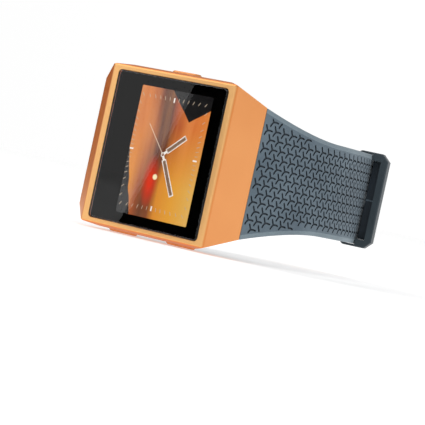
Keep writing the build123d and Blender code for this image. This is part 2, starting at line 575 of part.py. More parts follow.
# ================================================================ buckle and keeper
arm_inner = KNUCKLE_HALF + ARM_GAP
arm_outer = arm_inner + ARM_T
bar_rise = back_y + BAR_OVER_STRAP + BAR_R - pin_y
bar_x = pin_x - sqrt(BAR_REACH ** 2 - bar_rise ** 2)
bar_y = pin_y + bar_rise
tang_lift = degrees(asin((BAR_R + TANG_GAP + TANG_T / 2) / BAR_REACH))
tang_angle = degrees(atan2(bar_rise, pin_x - bar_x)) + tang_lift


def link(radius_a, at_a, radius_b, at_b, z0, z1):
    """A flat link whose outline wraps two circles."""
    circles = Pos(*at_a) * Circle(radius_a) + Pos(*at_b) * Circle(radius_b)
    return Pos(0, 0, z0) * extrude(make_hull(circles.edges()), z1 - z0)


def buckle_parts():
    arm = link(ARM_BOSS_R, (pin_x, pin_y), BAR_R, (bar_x, bar_y), arm_inner, arm_outer)
    arm = fillet(arm.faces().sort_by(Axis.Z)[-1].edges(), BUCKLE_EDGE)
    arm -= rod(PIN_R + PIN_GAP, arm_inner - 1, arm_outer - PIN_CAP, pin_x, pin_y)
    bar = rod(BAR_R, -arm_outer, arm_outer, bar_x, bar_y)
    bar = chamfer(bar.edges(), BUCKLE_EDGE)
    frame = arm + other_side(arm) + bar
    pin_end = arm_outer - PIN_CAP - PIN_GAP
    pin = rod(PIN_R, -pin_end, pin_end, pin_x, pin_y)
    eye = Circle(TANG_EYE_R)
    reach = BAR_REACH + TANG_TIP
    blade = Pos(-reach / 2, 0) * Rectangle(reach, TANG_T)
    tip = Pos(-reach, 0) * Circle(TANG_T / 2)
    outline = eye + blade + tip - Circle(PIN_R + PIN_GAP)
    tang = extrude(outline, TANG_W / 2, both=True)
    outside = tang.edges().filter_by(Axis.X).group_by(Axis.Y)[-1]
    tang = chamfer(outside, TANG_EDGE)
    tang = Pos(pin_x, pin_y, 0) * Rot(0, 0, -tang_angle) * tang
    return {"buckle_frame": frame, "buckle_pin": pin, "buckle_tang": tang}


def ring_sector(r0, r1, half_z, half_angle):
    """Part of a ring round the side arc's centre, centred on the keeper."""
    middle = radians(STRAP_HEADING - SIDE_TURN) + (KEEPER_BEFORE_BEND + KEEPER_W / 2) / SIDE_R

    def at(radius, angle):
        return side_cx + radius * cos(angle), side_cy - radius * sin(angle)

    a, b = middle + half_angle, middle - half_angle
    outer = ThreePointArc(at(r1, a), at(r1, middle), at(r1, b))
    inner = ThreePointArc(at(r0, a), at(r0, middle), at(r0, b))
    sides = [Line(at(r0, a), at(r1, a)), Line(at(r0, b), at(r1, b))]
    return extrude(make_face([outer, inner, *sides]), half_z, both=True)


def keeper_loop():
    """Loop round both straps; its hole steps in from the upper strap's width to the tail's."""
    floor = SIDE_R - UPPER_T - KEEPER_GAP
    roof = SIDE_R + tail_rise + KEEPER_GAP
    half_angle = KEEPER_W / 2 / SIDE_R
    inside = UPPER_HALF + KEEPER_GAP
    body = ring_sector(floor - KEEPER_FLOOR, roof + KEEPER_ROOF, inside + KEEPER_SIDE, half_angle)
    lengthwise = body.edges().filter_by(GeomType.CIRCLE)
    outer = lengthwise.filter_by(lambda edge: edge.radius > roof)
    body = chamfer(outer, KEEPER_CORNER)
    lengthwise = body.edges().filter_by(GeomType.CIRCLE)
    inner = lengthwise.filter_by(lambda edge: edge.radius < floor)
    body = fillet(inner, KEEPER_INNER_CORNER)
    ends = body.faces().filter_by(GeomType.PLANE).filter_by(lambda face: abs(face.normal_at().Z) < 0.01)
    body = chamfer(ends.edges(), KEEPER_BEVEL)
    body -= ring_sector(floor, SIDE_R + KEEPER_GAP, inside, 2 * half_angle)
    return body - ring_sector(SIDE_R, roof, LOWER_HALF + KEEPER_GAP, 2 * half_angle)


# ================================================================ write every part
def all_parts():
    button, pocket, leaf = release_parts()
    tongue = tongue_box(0, TONGUE_IN, TONGUE_OUT)
    parts = {"case_body": case_body(), "cover_glass": cover_glass(), "chassis": chassis(),
             "chassis_screws": chassis_screws(), "back_cover": back_cover(),
             "upper_strap": upper_strap(pocket), "lower_strap": lower_strap(pocket),
             "upper_strap_connector": tongue, "lower_strap_connector": other_end(tongue),
             "upper_release_button": button, "lower_release_button": other_end(button),
             "release_leaf_springs": Compound([leaf, other_end(leaf)]),
             "keeper_loop": keeper_loop()}
    for group in (display_parts(), board_parts(), inner_parts(), sensor_parts(), button_parts(),
                  buckle_parts()):
        parts.update(group)
    return parts


os.makedirs("parts", exist_ok=True)
for name, shape in all_parts().items():
    export_step(shape, os.path.join("parts", name + ".step"))
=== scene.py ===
import json
from math import asin, atan2, cos, hypot, pi, radians, sin, sqrt

import bmesh
import bpy
from mathutils import Matrix, Vector
from mathutils.geometry import delaunay_2d_cdt


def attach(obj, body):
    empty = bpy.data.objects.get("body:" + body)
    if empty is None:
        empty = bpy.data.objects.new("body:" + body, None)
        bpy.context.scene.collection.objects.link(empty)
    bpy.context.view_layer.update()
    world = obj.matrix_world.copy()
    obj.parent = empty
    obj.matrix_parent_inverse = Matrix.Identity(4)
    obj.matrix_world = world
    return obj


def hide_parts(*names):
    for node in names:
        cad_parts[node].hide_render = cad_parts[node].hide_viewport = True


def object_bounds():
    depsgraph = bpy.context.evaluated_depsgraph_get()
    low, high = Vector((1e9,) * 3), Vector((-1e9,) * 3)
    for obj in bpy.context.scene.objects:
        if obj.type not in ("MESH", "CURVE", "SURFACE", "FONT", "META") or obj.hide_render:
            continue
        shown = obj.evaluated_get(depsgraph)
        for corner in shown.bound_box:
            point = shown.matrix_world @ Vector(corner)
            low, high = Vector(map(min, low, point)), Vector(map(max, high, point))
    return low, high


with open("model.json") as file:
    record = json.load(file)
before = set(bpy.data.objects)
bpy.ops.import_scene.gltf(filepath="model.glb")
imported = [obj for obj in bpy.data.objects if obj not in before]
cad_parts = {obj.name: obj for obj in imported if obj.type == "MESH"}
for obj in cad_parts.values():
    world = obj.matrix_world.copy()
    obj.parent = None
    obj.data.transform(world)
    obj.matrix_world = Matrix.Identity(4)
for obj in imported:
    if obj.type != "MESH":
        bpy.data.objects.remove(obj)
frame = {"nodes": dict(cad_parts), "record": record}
cad_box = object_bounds()

MM = 0.001
scene = bpy.context.scene

# ---------------------------------------------------------------- camera (metres)
CAMERA_AT = (0.34435, -0.41767, -0.00450)
CAMERA_AIM = (0.01220, 0.00920, -0.01040)
CAMERA_ROLL = radians(12.25)                # the watch leans to the right in the picture
CAMERA_LENS, SENSOR_WIDTH = 201.9, 36.0

# ---------------------------------------------------------------- strap route (mm), as in the CAD model
STRAP_HEADING, SIDE_R, SIDE_TURN, BACK_R, KNUCKLE_LEAD = 22.0, 58.0, 52.0, 16.7, 2.5
UPPER_T, LOWER_T, UPPER_HALF, LOWER_HALF, TAPER_Y = 2.4, 2.0, 10.8, 9.4, 25.7
KNUCKLE_HALF, NARROW_FROM_Y, NARROW_TO_Y = 9.6, 55.5, 61.5
TAIL_GAP, RAMP_R, RAMP_LEAD, ROOT_BLEND = 0.2, 6.4, 2.3, 24.0
HOLE_L, HOLE_W, HOLE_PITCH, HOLE_SHIFT, HOLES_EACH_WAY = 6.0, 2.6, 8.8, 0.4, 3
LUG_X, LUG_Y, LUG_Z, LUG_END_X, LUG_END_Y, ROOT_GAP = 24.1, 5.3, 30.0, 21.0, 9.6, 0.08
KEEPER_W, KEEPER_BEFORE_BEND, TAIL_IN_KEEPER = 4.5, 1.49, 1.8
RELEASE_AT, RELEASE_L, RELEASE_Z = 3.4, 3.2, 8.0
TANG_SLOT, TANG_SLOT_AHEAD = 2.4, 1.3

# ---------------------------------------------------------------- strap surface (mm)
STEP = 0.8                                  # between cross-sections
BORDER = 1.05                               # smooth bevel along each edge
# how far in from the edge, and how deep below the outer face, each line of the border lies
BORDER_LINES = ((BORDER, 0.0), (0.98, 0.015), (0.9, 0.05), (0.32, 0.34), (0.14, 0.46), (0.03, 0.66),
                (0.0, 0.9))
# the same along the inner face: how far in from the edge, and how high above that face
INNER_LINES = ((0.0, 0.55), (0.08, 0.28), (0.26, 0.08), (0.5, 0.0))
FADED, FADE_L = 0.15, 3.0                   # share of the bevels left at the keeper, and the fade's length
TIP_ROUND = 0.1                             # corners of the tail's tip
TIP_FLARE, FLARE_L = 0.09, 0.45             # the tip widens to fill the keeper's hole, over this length
MARK_PITCH, MARK_ROW = 2.36, 2.04           # lattice of the three-armed marks
MARK_HALF_W, MARK_DEPTH = 0.21, 0.32
# each arm of a mark: its length, the way it sets out (degrees from along the strap) and how much it curls
MARK_ARMS = ((1.3, 12.0, -30.0), (1.25, 117.0, -6.0), (1.16, 226.0, 28.0))
ARM_FRACTIONS = (1.0, 0.75, 0.5)            # an arm that would cross the border is cut to one of these
MARK_TAPER = 0.05                           # a groove's floor is this much narrower each side
MARK_CLEAR = 0.08                           # plain rubber between a mark and the border
HOLE_CLEAR, SLOT_EASE = 0.9, 0.2            # plain rubber beside the slots; extra slot length for the tang
POCKET_FIT, POCKET_DEPTH = 0.25, 2.1        # room round and behind a pressed release button
KNUCKLE_EDGE = ((0.5, 0.0), (0.2, 0.08), (0.05, 0.25), (0.0, 0.45))
KNUCKLE_STEPS = 12                          # faces round a knuckle
SHARP = 34.0                                # degrees: edges turning more than this stay crisp
# material 1 is a darker slate, painted shade in the marks' grooves and on the tail's cut end
# material 2 is a lighter slate, a painted highlight on the edge bevels
RUBBER, PAINTED_SHADE, BEVEL_HIGHLIGHT = 0, 1, 2             # material numbers on a strap

# ---------------------------------------------------------------- studio (metres)
KEY_AT, KEY_AIM, KEY_SIZE, KEY_WATTS = (-0.9, -0.5, 0.8), (0, 0.02, 0), 0.8, 3.6
TOP_AT, TOP_AIM, TOP_SIZE, TOP_WATTS = (0.25, -0.25, 0.9), (0.01, 0.03, 0), 0.6, 1.5
FLOOR_HALF, FLOOR_DROP, FLOOR_GLOW = 4, 0.0002, 0.34
FLAG_Y, FLAG_FAR = -0.07, -0.030            # the black card: its y, and its far edge's x
FLAG_TOP, FLAG_BOTTOM = (-0.0481, 0.0250), (-0.0656, -0.0195)  # x and z at the ends of its near edge
SIDE_CARD_A, SIDE_CARD_B = (-0.26, 0.0), (-0.14, 0.24)         # x and y of the warm card's edges
SIDE_CARD_BOTTOM, SIDE_CARD_TOP = -0.0195, 0.15
WORLD_LIGHT = 1.25
# how bright the surroundings are, 0 to 1, from the -X side to the +X side
WORLD_ACROSS = ((-1.0, 0.4), (-0.88, 0.42), (-0.74, 0.78), (-0.52, 0.84), (-0.3, 0.5), (-0.05, 0.3),
                (0.25, 0.52), (0.6, 0.69), (0.85, 0.69), (1.0, 0.5))


# ================================================================ small helpers
def srgb(r, g, b):
    """A colour given as it looks on a screen, 0 to 255."""
    def linear(c):
        c /= 255
        return c / 12.92 if c <= 0.04045 else ((c + 0.055) / 1.055) ** 2.4
    return linear(r), linear(g), linear(b), 1.0


def mesh_object(name, points, faces, slots=None):
    """A mesh from millimetre points; slots gives each face's material number."""
    mesh = bpy.data.meshes.new(name)
    mesh.from_pydata([(x * MM, y * MM, z * MM) for x, y, z in points], [], faces)
    mesh.validate()
    if slots:
        mesh.polygons.foreach_set("material_index", slots)
    mesh.polygons.foreach_set("use_smooth", [True] * len(mesh.polygons))
    mesh.update()
    mesh.set_sharp_from_angle(angle=radians(SHARP))
    obj = bpy.data.objects.new(name, mesh)
    scene.collection.objects.link(obj)
    return obj


class Nodes:
    """A short way to write a procedural material."""

    def __init__(self, name):
        self.material = bpy.data.materials.new(name)
        self.material.use_nodes = True
        self.tree = self.material.node_tree
        self.shader = self.tree.nodes["Principled BSDF"]

    def add(self, kind, inputs=(), **settings):
        node = self.tree.nodes.new(kind)
        for key, value in settings.items():
            setattr(node, key, value)
        for key, value in dict(inputs).items():
            self.put(node, key, value)
        return node

    def put(self, node, key, value):
        socket = node.inputs[key]
        if isinstance(value, bpy.types.NodeSocket):
            self.tree.links.new(value, socket)
        elif isinstance(value, bpy.types.Node):
            self.tree.links.new(value.outputs[0], socket)
        else:
            socket.default_value = value

    def set(self, **values):
        for key, value in values.items():
            self.put(self.shader, key.replace("_", " "), value)

    def object_coords(self, scale=(1, 1, 1)):
        coords = self.add("ShaderNodeTexCoord").outputs["Object"]
        return self.add("ShaderNodeMapping", {"Vector": coords, "Scale": scale})

    def noise(self, scale, detail=3.0, roughness=0.5, stretch=(1, 1, 1)):
        inputs = {"Vector": self.object_coords(stretch), "Scale": scale, "Detail": detail,
                  "Roughness": roughness}
        return self.add("ShaderNodeTexNoise", inputs)

    def math(self, operation, a, b=0.0):
        return self.add("ShaderNodeMath", {0: a, 1: b}, operation=operation)

    def remap(self, value, a, b, c, d):
        inputs = {"Value": value, "From Min": a, "From Max": b, "To Min": c, "To Max": d}
        return self.add("ShaderNodeMapRange", inputs)

    def mix(self, factor, a, b):
        node = self.add("ShaderNodeMix", data_type="RGBA")
        self.put(node, 0, factor)
        self.put(node, 6, a)
        self.put(node, 7, b)
        return node.outputs[2]

    def bump(self, height, strength, distance):
        inputs = {"Height": height, "Strength": strength, "Distance": distance}
        self.put(self.shader, "Normal", self.add("ShaderNodeBump", inputs))


# ================================================================ colours
ORANGE_DEEP, ORANGE_PALE = srgb(226, 138, 74), srgb(232, 148, 84)
# the second colour here is a painted highlight for the case's flat front rim
ORANGE_EDGE, ORANGE_RIM_HIGHLIGHT = srgb(246, 186, 128), srgb(246, 190, 124)
SLATE_LOW, SLATE_HIGH = srgb(78, 94, 106), srgb(98, 114, 125)
# painted shade: a darker slate for the marks' grooves and the tail's cut end, standing in for the shade
# inside them
SLATE_PAINTED_SHADE, SLATE_PAINTED_SHADE_HIGH = srgb(30, 42, 52), srgb(38, 51, 62)
# painted highlight: a lighter slate for the bevels along the strap's edges, standing in for light from above
SLATE_BEVEL_HIGHLIGHT, SLATE_BEVEL_HIGHLIGHT_HIGH = srgb(104, 120, 130), srgb(126, 142, 151)
# painted shade: the keeper loop is a much darker slate than the strap, standing in for the shade in and
# around it
KEEPER_SHADE_LOW, KEEPER_SHADE_HIGH = srgb(36, 49, 56), srgb(47, 60, 68)
DISPLAY_LIGHT = 1.05
SKY_FROM, SKY_TO = -10.0, 13.0              # mm along X that the sky's colours span
# the display's sky on its right and on its left: (height from 0 to 1, colour), from the ground up
GOLD_SKY = ((0.0, (224, 140, 44)), (0.16, (226, 142, 46)), (0.28, (160, 76, 42)), (0.38, (92, 48, 36)),
            (0.47, (128, 66, 38)), (0.54, (222, 140, 46)), (0.72, (230, 160, 52)), (1.0, (226, 178, 92)))
DUSK_SKY = ((0.0, (206, 112, 46)), (0.16, (214, 120, 50)), (0.28, (176, 92, 48)), (0.38, (96, 54, 40)),
            (0.48, (88, 50, 38)), (0.56, (176, 84, 44)), (0.74, (214, 108, 46)), (1.0, (222, 128, 52)))


# ================================================================ materials
def anodised():
    """Burnt-orange anodised aluminium, bead blasted, with a painted highlight on its front rim and paler
    sharp edges.
    """
    m = Nodes("orange_anodised")
    cloud = m.noise(60.0, 2.0)
    tint = m.mix(m.remap(cloud, 0.35, 0.65, 0.0, 1.0), ORANGE_DEEP, ORANGE_PALE)
    grain = m.noise(5200.0, 2.0, 0.6)
    geometry = m.add("ShaderNodeNewGeometry")
    # sharp convex edges are painted paler
    edge_paling = m.remap(geometry.outputs["Pointiness"], 0.51, 0.56, 0.0, 0.35)
    edged = m.mix(edge_paling, tint, ORANGE_EDGE)
    facing = m.add("ShaderNodeSeparateXYZ", {"Vector": geometry.outputs["Normal"]})
    place = m.add("ShaderNodeSeparateXYZ", {"Vector": m.add("ShaderNodeTexCoord").outputs["Object"]})
    # painted highlight: the flat front rim, facing out past the glass, is painted paler where the lights'
    # reflection falls
    in_front = m.remap(place.outputs["Y"], 0.0012, 0.0006, 0.0, 1.0)
    rim = m.math("MULTIPLY", m.remap(facing.outputs["Y"], -0.9, -0.985, 0.0, 1.0), in_front)
    m.set(Base_Color=m.mix(rim, edged, ORANGE_RIM_HIGHLIGHT), Metallic=1.0)
    m.put(m.shader, "Roughness", m.remap(grain, 0.3, 0.7, 0.3, 0.42))
    m.bump(grain, 0.12, 0.00002)
    return m.material


def silicone(name, low, high, groove=False):
    """Slate-blue silicone: soft sheen, slight mottling and a very fine moulded grain."""
    m = Nodes(name)
    mottle = m.noise(90.0, 4.0, 0.6)
    fine = m.noise(4000.0, 3.0, 0.6)
    colour = m.mix(m.remap(mottle, 0.3, 0.7, 0.0, 1.0), low, high)
    m.set(Base_Color=colour, Specular_IOR_Level=0.35)
    m.put(m.shader, "Roughness", m.remap(fine, 0.3, 0.7, 0.5, 0.66))
    if not groove:
        m.set(Sheen_Weight=0.15, Sheen_Roughness=0.5)
    m.bump(fine, 0.15, 0.00003)
    return m.material


def plain(name, colour, roughness, metallic=0.0, grain=3000.0, depth=0.00002, vary=0.12, **more):
    """Moulded, rolled or plated stock: the colour wanders a little and the surface has a grain."""
    m = Nodes(name)
    cloud = m.noise(grain / 25, 3.0)
    fine = m.noise(grain, 2.0)
    dark = tuple(c * (1 - vary) for c in colour[:3]) + (1.0,)
    m.set(Base_Color=m.mix(m.remap(cloud, 0.3, 0.7, 0.0, 1.0), dark, colour), Metallic=metallic, **more)
    m.put(m.shader, "Roughness", m.remap(fine, 0.3, 0.7, roughness * 0.85, min(1.0, roughness * 1.15)))
    m.bump(fine, 0.1, depth)
    return m.material


def brushed(name, colour, along, roughness=0.32):
    """Metal brushed along one axis: the grain is long that way and fine across it."""
    m = Nodes(name)
    stretch = tuple(0.03 if axis == along else 1.0 for axis in range(3))
    lines = m.noise(3500.0, 3.0, 0.7, stretch=stretch)
    dark = tuple(c * 0.86 for c in colour[:3]) + (1.0,)
    m.set(Base_Color=m.mix(m.remap(lines, 0.3, 0.7, 0.0, 1.0), dark, colour), Metallic=1.0)
    m.put(m.shader, "Roughness", m.remap(lines, 0.3, 0.7, roughness - 0.08, roughness + 0.1))
    m.bump(lines, 0.2, 0.00001)
    return m.material


def circuit():
    """Green solder mask over faint copper tracks."""
    m = Nodes("circuit_board")
    tracks = m.add("ShaderNodeTexBrick", {"Vector": m.object_coords(), "Scale": 900.0, "Mortar Size": 0.06,
                                          "Color1": srgb(10, 74, 44), "Color2": srgb(12, 84, 50),
                                          "Mortar": srgb(40, 120, 66)})
    m.set(Base_Color=tracks.outputs["Color"], Roughness=0.38)
    m.bump(tracks.outputs["Fac"], 0.2, 0.00002)
    return m.material


def dark_glass(name):
    """Clear glass with a coating that weakens its mirror image."""
    m = Nodes(name)
    smear = m.noise(45.0, 4.0, 0.6)
    m.set(Base_Color=(0.93, 0.94, 0.95, 1), IOR=1.38, Transmission_Weight=1.0)
    m.put(m.shader, "Roughness", m.remap(smear, 0.45, 0.8, 0.0, 0.02))
    return m.material


def display_picture():
    """A made-up sunset: streaked cloud over a low sun, with dark land below and at one side.

    The picture stands upright with 12 o'clock at the top, so its up is +X and its right is -Z."""
    m = Nodes("display")
    coords = m.add("ShaderNodeTexCoord").outputs["Object"]
    split = m.add("ShaderNodeSeparateXYZ", {"Vector": coords})
    up = m.math("MULTIPLY", split.outputs["X"], 1000.0)
    left = m.math("MULTIPLY", split.outputs["Z"], 1000.0)
    streak = m.noise(230.0, 3.0, 0.6, stretch=(1.0, 1.0, 0.1))
    soft = m.noise(70.0, 2.0, 0.5, stretch=(1.0, 1.0, 0.5))
    wander = m.math("MULTIPLY", m.math("SUBTRACT", soft, 0.5), 5.0)
    band = m.math("ADD", up, wander)
    # the sky from the ground up: orange, a smoky belt, then orange rising to gold; redder to the left
    gold = m.add("ShaderNodeValToRGB", {"Fac": m.remap(band, SKY_FROM, SKY_TO, 0.0, 1.0)})
    dusk = m.add("ShaderNodeValToRGB", {"Fac": m.remap(band, SKY_FROM, SKY_TO, 0.0, 1.0)})
    for ramp, stops in ((gold, GOLD_SKY), (dusk, DUSK_SKY)):
        while len(ramp.color_ramp.elements) < len(stops):
            ramp.color_ramp.elements.new(0.5)
        for element, (place, colour) in zip(ramp.color_ramp.elements, stops):
            element.position = place
            element.color = srgb(*colour)
    sky = m.mix(m.remap(left, -7.0, 7.0, 0.0, 1.0), gold.outputs["Color"], dusk.outputs["Color"])
    lines = m.math("MULTIPLY", m.remap(streak, 0.4, 0.75, 0.0, 0.5), m.remap(left, -9.0, 5.0, 0.25, 1.0))
    sky = m.mix(lines, sky, srgb(240, 164, 92))

    def away(x, z, wide_x=1.0, wide_z=1.0):
        """Distance in mm from a place in the picture, less along x or z by these factors."""
        dx = m.math("DIVIDE", m.math("SUBTRACT", up, x), wide_x)
        dz = m.math("DIVIDE", m.math("SUBTRACT", left, z), wide_z)
        return m.math("SQRT", m.math("ADD", m.math("MULTIPLY", dx, dx), m.math("MULTIPLY", dz, dz)))

    sun_x, sun_z, sun_r = 0.35, -5.3, 0.5
    glow = m.remap(away(sun_x - 1.2, sun_z - 1.2, 1.0, 2.6), 0.5, 2.5, 0.95, 0.0)
    sky = m.mix(glow, sky, srgb(226, 50, 20))
    disc = m.remap(away(sun_x, sun_z), sun_r, sun_r + 0.25, 1.0, 0.0)
    sky = m.mix(disc, sky, srgb(255, 240, 190))
    # dark land along the bottom, and a dark overhang in the upper left corner
    ragged = m.noise(130.0, 3.0, 0.55)
    teeth = m.math("MULTIPLY", m.math("SUBTRACT", ragged, 0.5), 2.2)
    rise = m.math("MAXIMUM", m.math("MULTIPLY", left, -0.24), -0.4)
    ground = m.math("ADD", m.math("ADD", rise, teeth), -9.0)
    land = m.remap(m.math("SUBTRACT", up, ground), -0.08, 0.08, 1.0, 0.0)
    fold = m.math("SUBTRACT", up, 6.7)
    brow = m.math("MAXIMUM", m.math("MULTIPLY", fold, -1.05), m.math("MULTIPLY", fold, 0.65))
    brow = m.math("ADD", brow, m.math("MULTIPLY", teeth, 0.3))
    over = m.remap(m.math("SUBTRACT", left, m.math("ADD", brow, 8.3)), -0.08, 0.08, 0.0, 1.0)
    picture = m.mix(m.math("MAXIMUM", land, over), sky, srgb(10, 9, 10))
    m.set(Base_Color=(0.01, 0.01, 0.01, 1), Roughness=0.6, Specular_IOR_Level=0.1, Emission_Color=picture,
          Emission_Strength=DISPLAY_LIGHT)
    return m.material


def lit(name, colour, strength):
    """Lit dial marks."""
    m = Nodes(name)
    flicker = m.noise(900.0, 1.0)
    pale = tuple(c * 0.9 for c in colour[:3]) + (1.0,)
    shade = m.mix(m.remap(flicker, 0.3, 0.7, 0.0, 1.0), pale, colour)
    m.set(Base_Color=(0.02, 0.02, 0.02, 1), Emission_Color=shade, Emission_Strength=strength, Roughness=0.5)
    return m.material


# ================================================================ strap geometry
class Route:
    """The line of arcs and straights that a strap's outer face follows."""

    def __init__(self, x, y, heading, outside):
        self.outside, self.steps, self.length = outside, [], 0.0
        self.x, self.y, self.heading = x, y, radians(heading)

    def go(self, length, curvature=0.0):
        self.steps.append((self.length, length, self.x, self.y, self.heading, curvature))
        self.length += length
        self.x, self.y, self.heading = self.at(self.length)
        return self

    def arc(self, radius, turn):
        bend = radians(abs(turn))
        return self.go(radius * bend, (1 if turn > 0 else -1) / radius)

    def at(self, s, out=0.0):
        step = next((p for p in self.steps if s <= p[0] + p[1] + 1e-9), self.steps[-1])
        began, _, x, y, heading, curvature = step
        now = heading - curvature * (s - began)
        if curvature:
            x += (cos(now) - cos(heading)) / curvature
            y += (sin(heading) - sin(now)) / curvature
        else:
            x, y = x + (s - began) * sin(heading), y + (s - began) * cos(heading)
        return x + self.outside * out * cos(now), y - self.outside * out * sin(now), now


lug_length = hypot(LUG_END_X - LUG_X, LUG_END_Y - LUG_Y)
out_x, out_y = (LUG_END_Y - LUG_Y) / lug_length, (LUG_X - LUG_END_X) / lug_length
root_x, root_y = LUG_X + ROOT_GAP * out_x, LUG_Y + ROOT_GAP * out_y
corner_x, corner_y = LUG_END_X + ROOT_GAP * out_x, LUG_END_Y + ROOT_GAP * out_y
back_turn = 90.0 - (SIDE_TURN - STRAP_HEADING)
side_length = SIDE_R * radians(SIDE_TURN)

upper_route = Route(root_x, root_y, STRAP_HEADING, 1)
upper_route.arc(SIDE_R, SIDE_TURN).arc(BACK_R, back_turn).go(KNUCKLE_LEAD)
back_x, _, _ = upper_route.at(side_length + BACK_R * radians(back_turn))

tail_rise = TAIL_GAP + LOWER_T
ramp_turn = 2 * asin(sqrt(tail_rise / (4 * RAMP_R)))
ramp_degrees = ramp_turn * 180 / pi
ramp_length = 2 * RAMP_R * sin(ramp_turn)
lower_route = Route(-root_x, root_y, -STRAP_HEADING, -1)
lower_route.arc(SIDE_R, -SIDE_TURN).arc(BACK_R, -back_turn).go(RAMP_LEAD)
ramp_at = lower_route.length
lower_route.arc(RAMP_R, ramp_degrees).arc(RAMP_R, -ramp_degrees)
ramp_end = lower_route.length
lower_route.go(2 * back_x - RAMP_LEAD - ramp_length).arc(BACK_R + tail_rise, -back_turn)
lower_route.arc(SIDE_R + tail_rise, -(KEEPER_BEFORE_BEND + TAIL_IN_KEEPER) / SIDE_R * 180 / pi)


class Strap:
    """One strap half: a point on it is (s along it, w across it, d below its outer face)."""

    def __init__(self, route, thickness, half, end_half, end, bevel_to, tip_round=0.0):
        self.route, self.t, self.half, self.end_half = route, thickness, half, end_half
        self.end, self.bevel_to, self.tip_round = end, bevel_to, tip_round
        drop = LUG_Z / 2 - half
        self.taper_r = (TAPER_Y ** 2 + drop ** 2) / (2 * drop)
        # the inner face of the root is an arc from the lug's wrist-side edge to the even strap
        x, y, heading = route.at(ROOT_BLEND, -thickness)
        self.corner = (route.outside * corner_x, corner_y)
        self.join = (x, y)
        chord = Vector((x - self.corner[0], y - self.corner[1]))
        self.bend = atan2(chord.x, chord.y) - heading
        self.inner_length = chord.length * (self.bend / sin(self.bend) if abs(self.bend) > 1e-6 else 1)

    def half_at(self, s):
        _, y, _ = self.route.at(s)
        even_from = LUG_Y + TAPER_Y
        half = self.half
        if y < even_from:
            half += self.taper_r - sqrt(self.taper_r ** 2 - (even_from - y) ** 2)
        done = min(max((y - NARROW_FROM_Y) / (NARROW_TO_Y - NARROW_FROM_Y), 0.0), 1.0)
        half += (self.end_half - self.half) * done
        if self.tip_round and s > self.end - self.tip_round:
            run = s - self.end + self.tip_round
            half -= self.tip_round - sqrt(max(0.0, self.tip_round ** 2 - run ** 2))
        if self.tip_round:
            half += TIP_FLARE * min(max(s - self.end + TAIL_IN_KEEPER, 0.0) / FLARE_L, 1.0)
        return half

    def bevel_at(self, s):
        """How much of the full bevel there is."""
        done = min(max((s - self.bevel_to) / FADE_L, 0.0), 1.0)
        return 1.0 - (1.0 - FADED) * done

    def inner(self, s):
        """The inner face's line; over the root it is the arc that ends at the lug."""
        if s >= ROOT_BLEND:
            x, y, _ = self.route.at(s, -self.t)
            return x, y
        f = s / ROOT_BLEND
        chord = Vector((self.join[0] - self.corner[0], self.join[1] - self.corner[1]))
        if abs(self.bend) < 1e-6:
            p = Vector(self.corner) + chord * f
            return p.x, p.y
        radius = chord.length / (2 * sin(self.bend))
        first = atan2(chord.x, chord.y) + self.bend
        now = first - 2 * self.bend * f
        x = self.corner[0] + radius * (cos(now) - cos(first))
        y = self.corner[1] - radius * (sin(now) - sin(first))
        return x, y

    def point(self, s, w, depth=0.0, height=None):
        """depth is measured from the outer face, height from the inner one."""
        ox, oy, _ = self.route.at(s)
        ix, iy = self.inner(s)
        thick = hypot(ox - ix, oy - iy)
        f = depth / thick if height is None else 1 - height / thick
        return ox + (ix - ox) * f, oy + (iy - oy) * f, w


def arm_point(k, t, side, half_w, spin):
    """A point on arm k of a mark, t of the way out, on its centre line (0) or either edge."""
    arm, start, curl = MARK_ARMS[k]
    turn, lean = radians(start + curl * t / 2), radians(start + curl * t)
    x = arm * t * cos(turn) - side * half_w * sin(lean)
    y = arm * t * sin(turn) + side * half_w * cos(lean)
    return x, spin * y


def mark_outline(half_w, spin, fractions):
    """A mark's outline about the origin: curled arms, round at their ends, each a fraction of its length."""
    points = []
    for k, (_, start, curl) in enumerate(MARK_ARMS):
        f = fractions[k]
        if f:
            points += [arm_point(k, f * t, -1, half_w, spin) for t in (0.4, 0.7, 0.95)]
            end_x, end_y = arm_point(k, f, 0, half_w, spin)
            for swing in (-40, 0, 40):
                turn = radians(start + curl * f + swing)
                points.append((end_x + half_w * cos(turn), end_y + spin * half_w * sin(turn)))
            points += [arm_point(k, f * t, 1, half_w, spin) for t in (0.95, 0.7, 0.4)]
        else:
            points.append((half_w * cos(radians(start)), spin * half_w * sin(radians(start))))
        following = MARK_ARMS[(k + 1) % 3][1] + (360 if k == 2 else 0)
        notch = radians((start + following) / 2)
        points.append((1.25 * half_w * cos(notch), 1.25 * half_w * spin * sin(notch)))
    return points


def stadium(s, w, length, width, steps=6):
    """A slot's outline, its long side along s."""
    points = []
    for side in (1, -1):
        for k in range(steps + 1):
            turn = radians(-90 + 180 * k / steps) if side > 0 else radians(90 + 180 * k / steps)
            x = side * (length - width) / 2 + width / 2 * cos(turn)
            points.append((s + x, w + width / 2 * sin(turn)))
    return points


def rectangle(s0, s1, w0, w1):
    return [(s0, w0), (s1, w0), (s1, w1), (s0, w1)]


def area(points, loop):
    ends = zip(loop, loop[1:] + loop[:1])
    return sum(points[a][0] * points[b][1] - points[b][0] * points[a][1] for a, b in ends) / 2


def fill(outer, inside):
    """Triangles of the area inside outer and outside the other loops.

    Returns the points, the triangles and, for each loop, its points' numbers."""
    points, loops = [], []
    for loop in [outer] + inside:
        loops.append(list(range(len(points), len(points) + len(loop))))
        points += loop
    turned = [loop if area(points, loop) > 0 else loop[::-1] for loop in loops]
    done = delaunay_2d_cdt([Vector(p) for p in points], [], turned, 1, 1e-6, True)
    verts, _, faces, orig_verts, _, orig_faces = done
    where = {}
    for new, olds in enumerate(orig_verts):
        for old in olds:
            where[old] = new
    kept = [list(f) for f, owners in zip(faces, orig_faces) if list(owners) == [0]]
    return [(v.x, v.y) for v in verts], kept, [[where[i] for i in loop] for loop in loops]


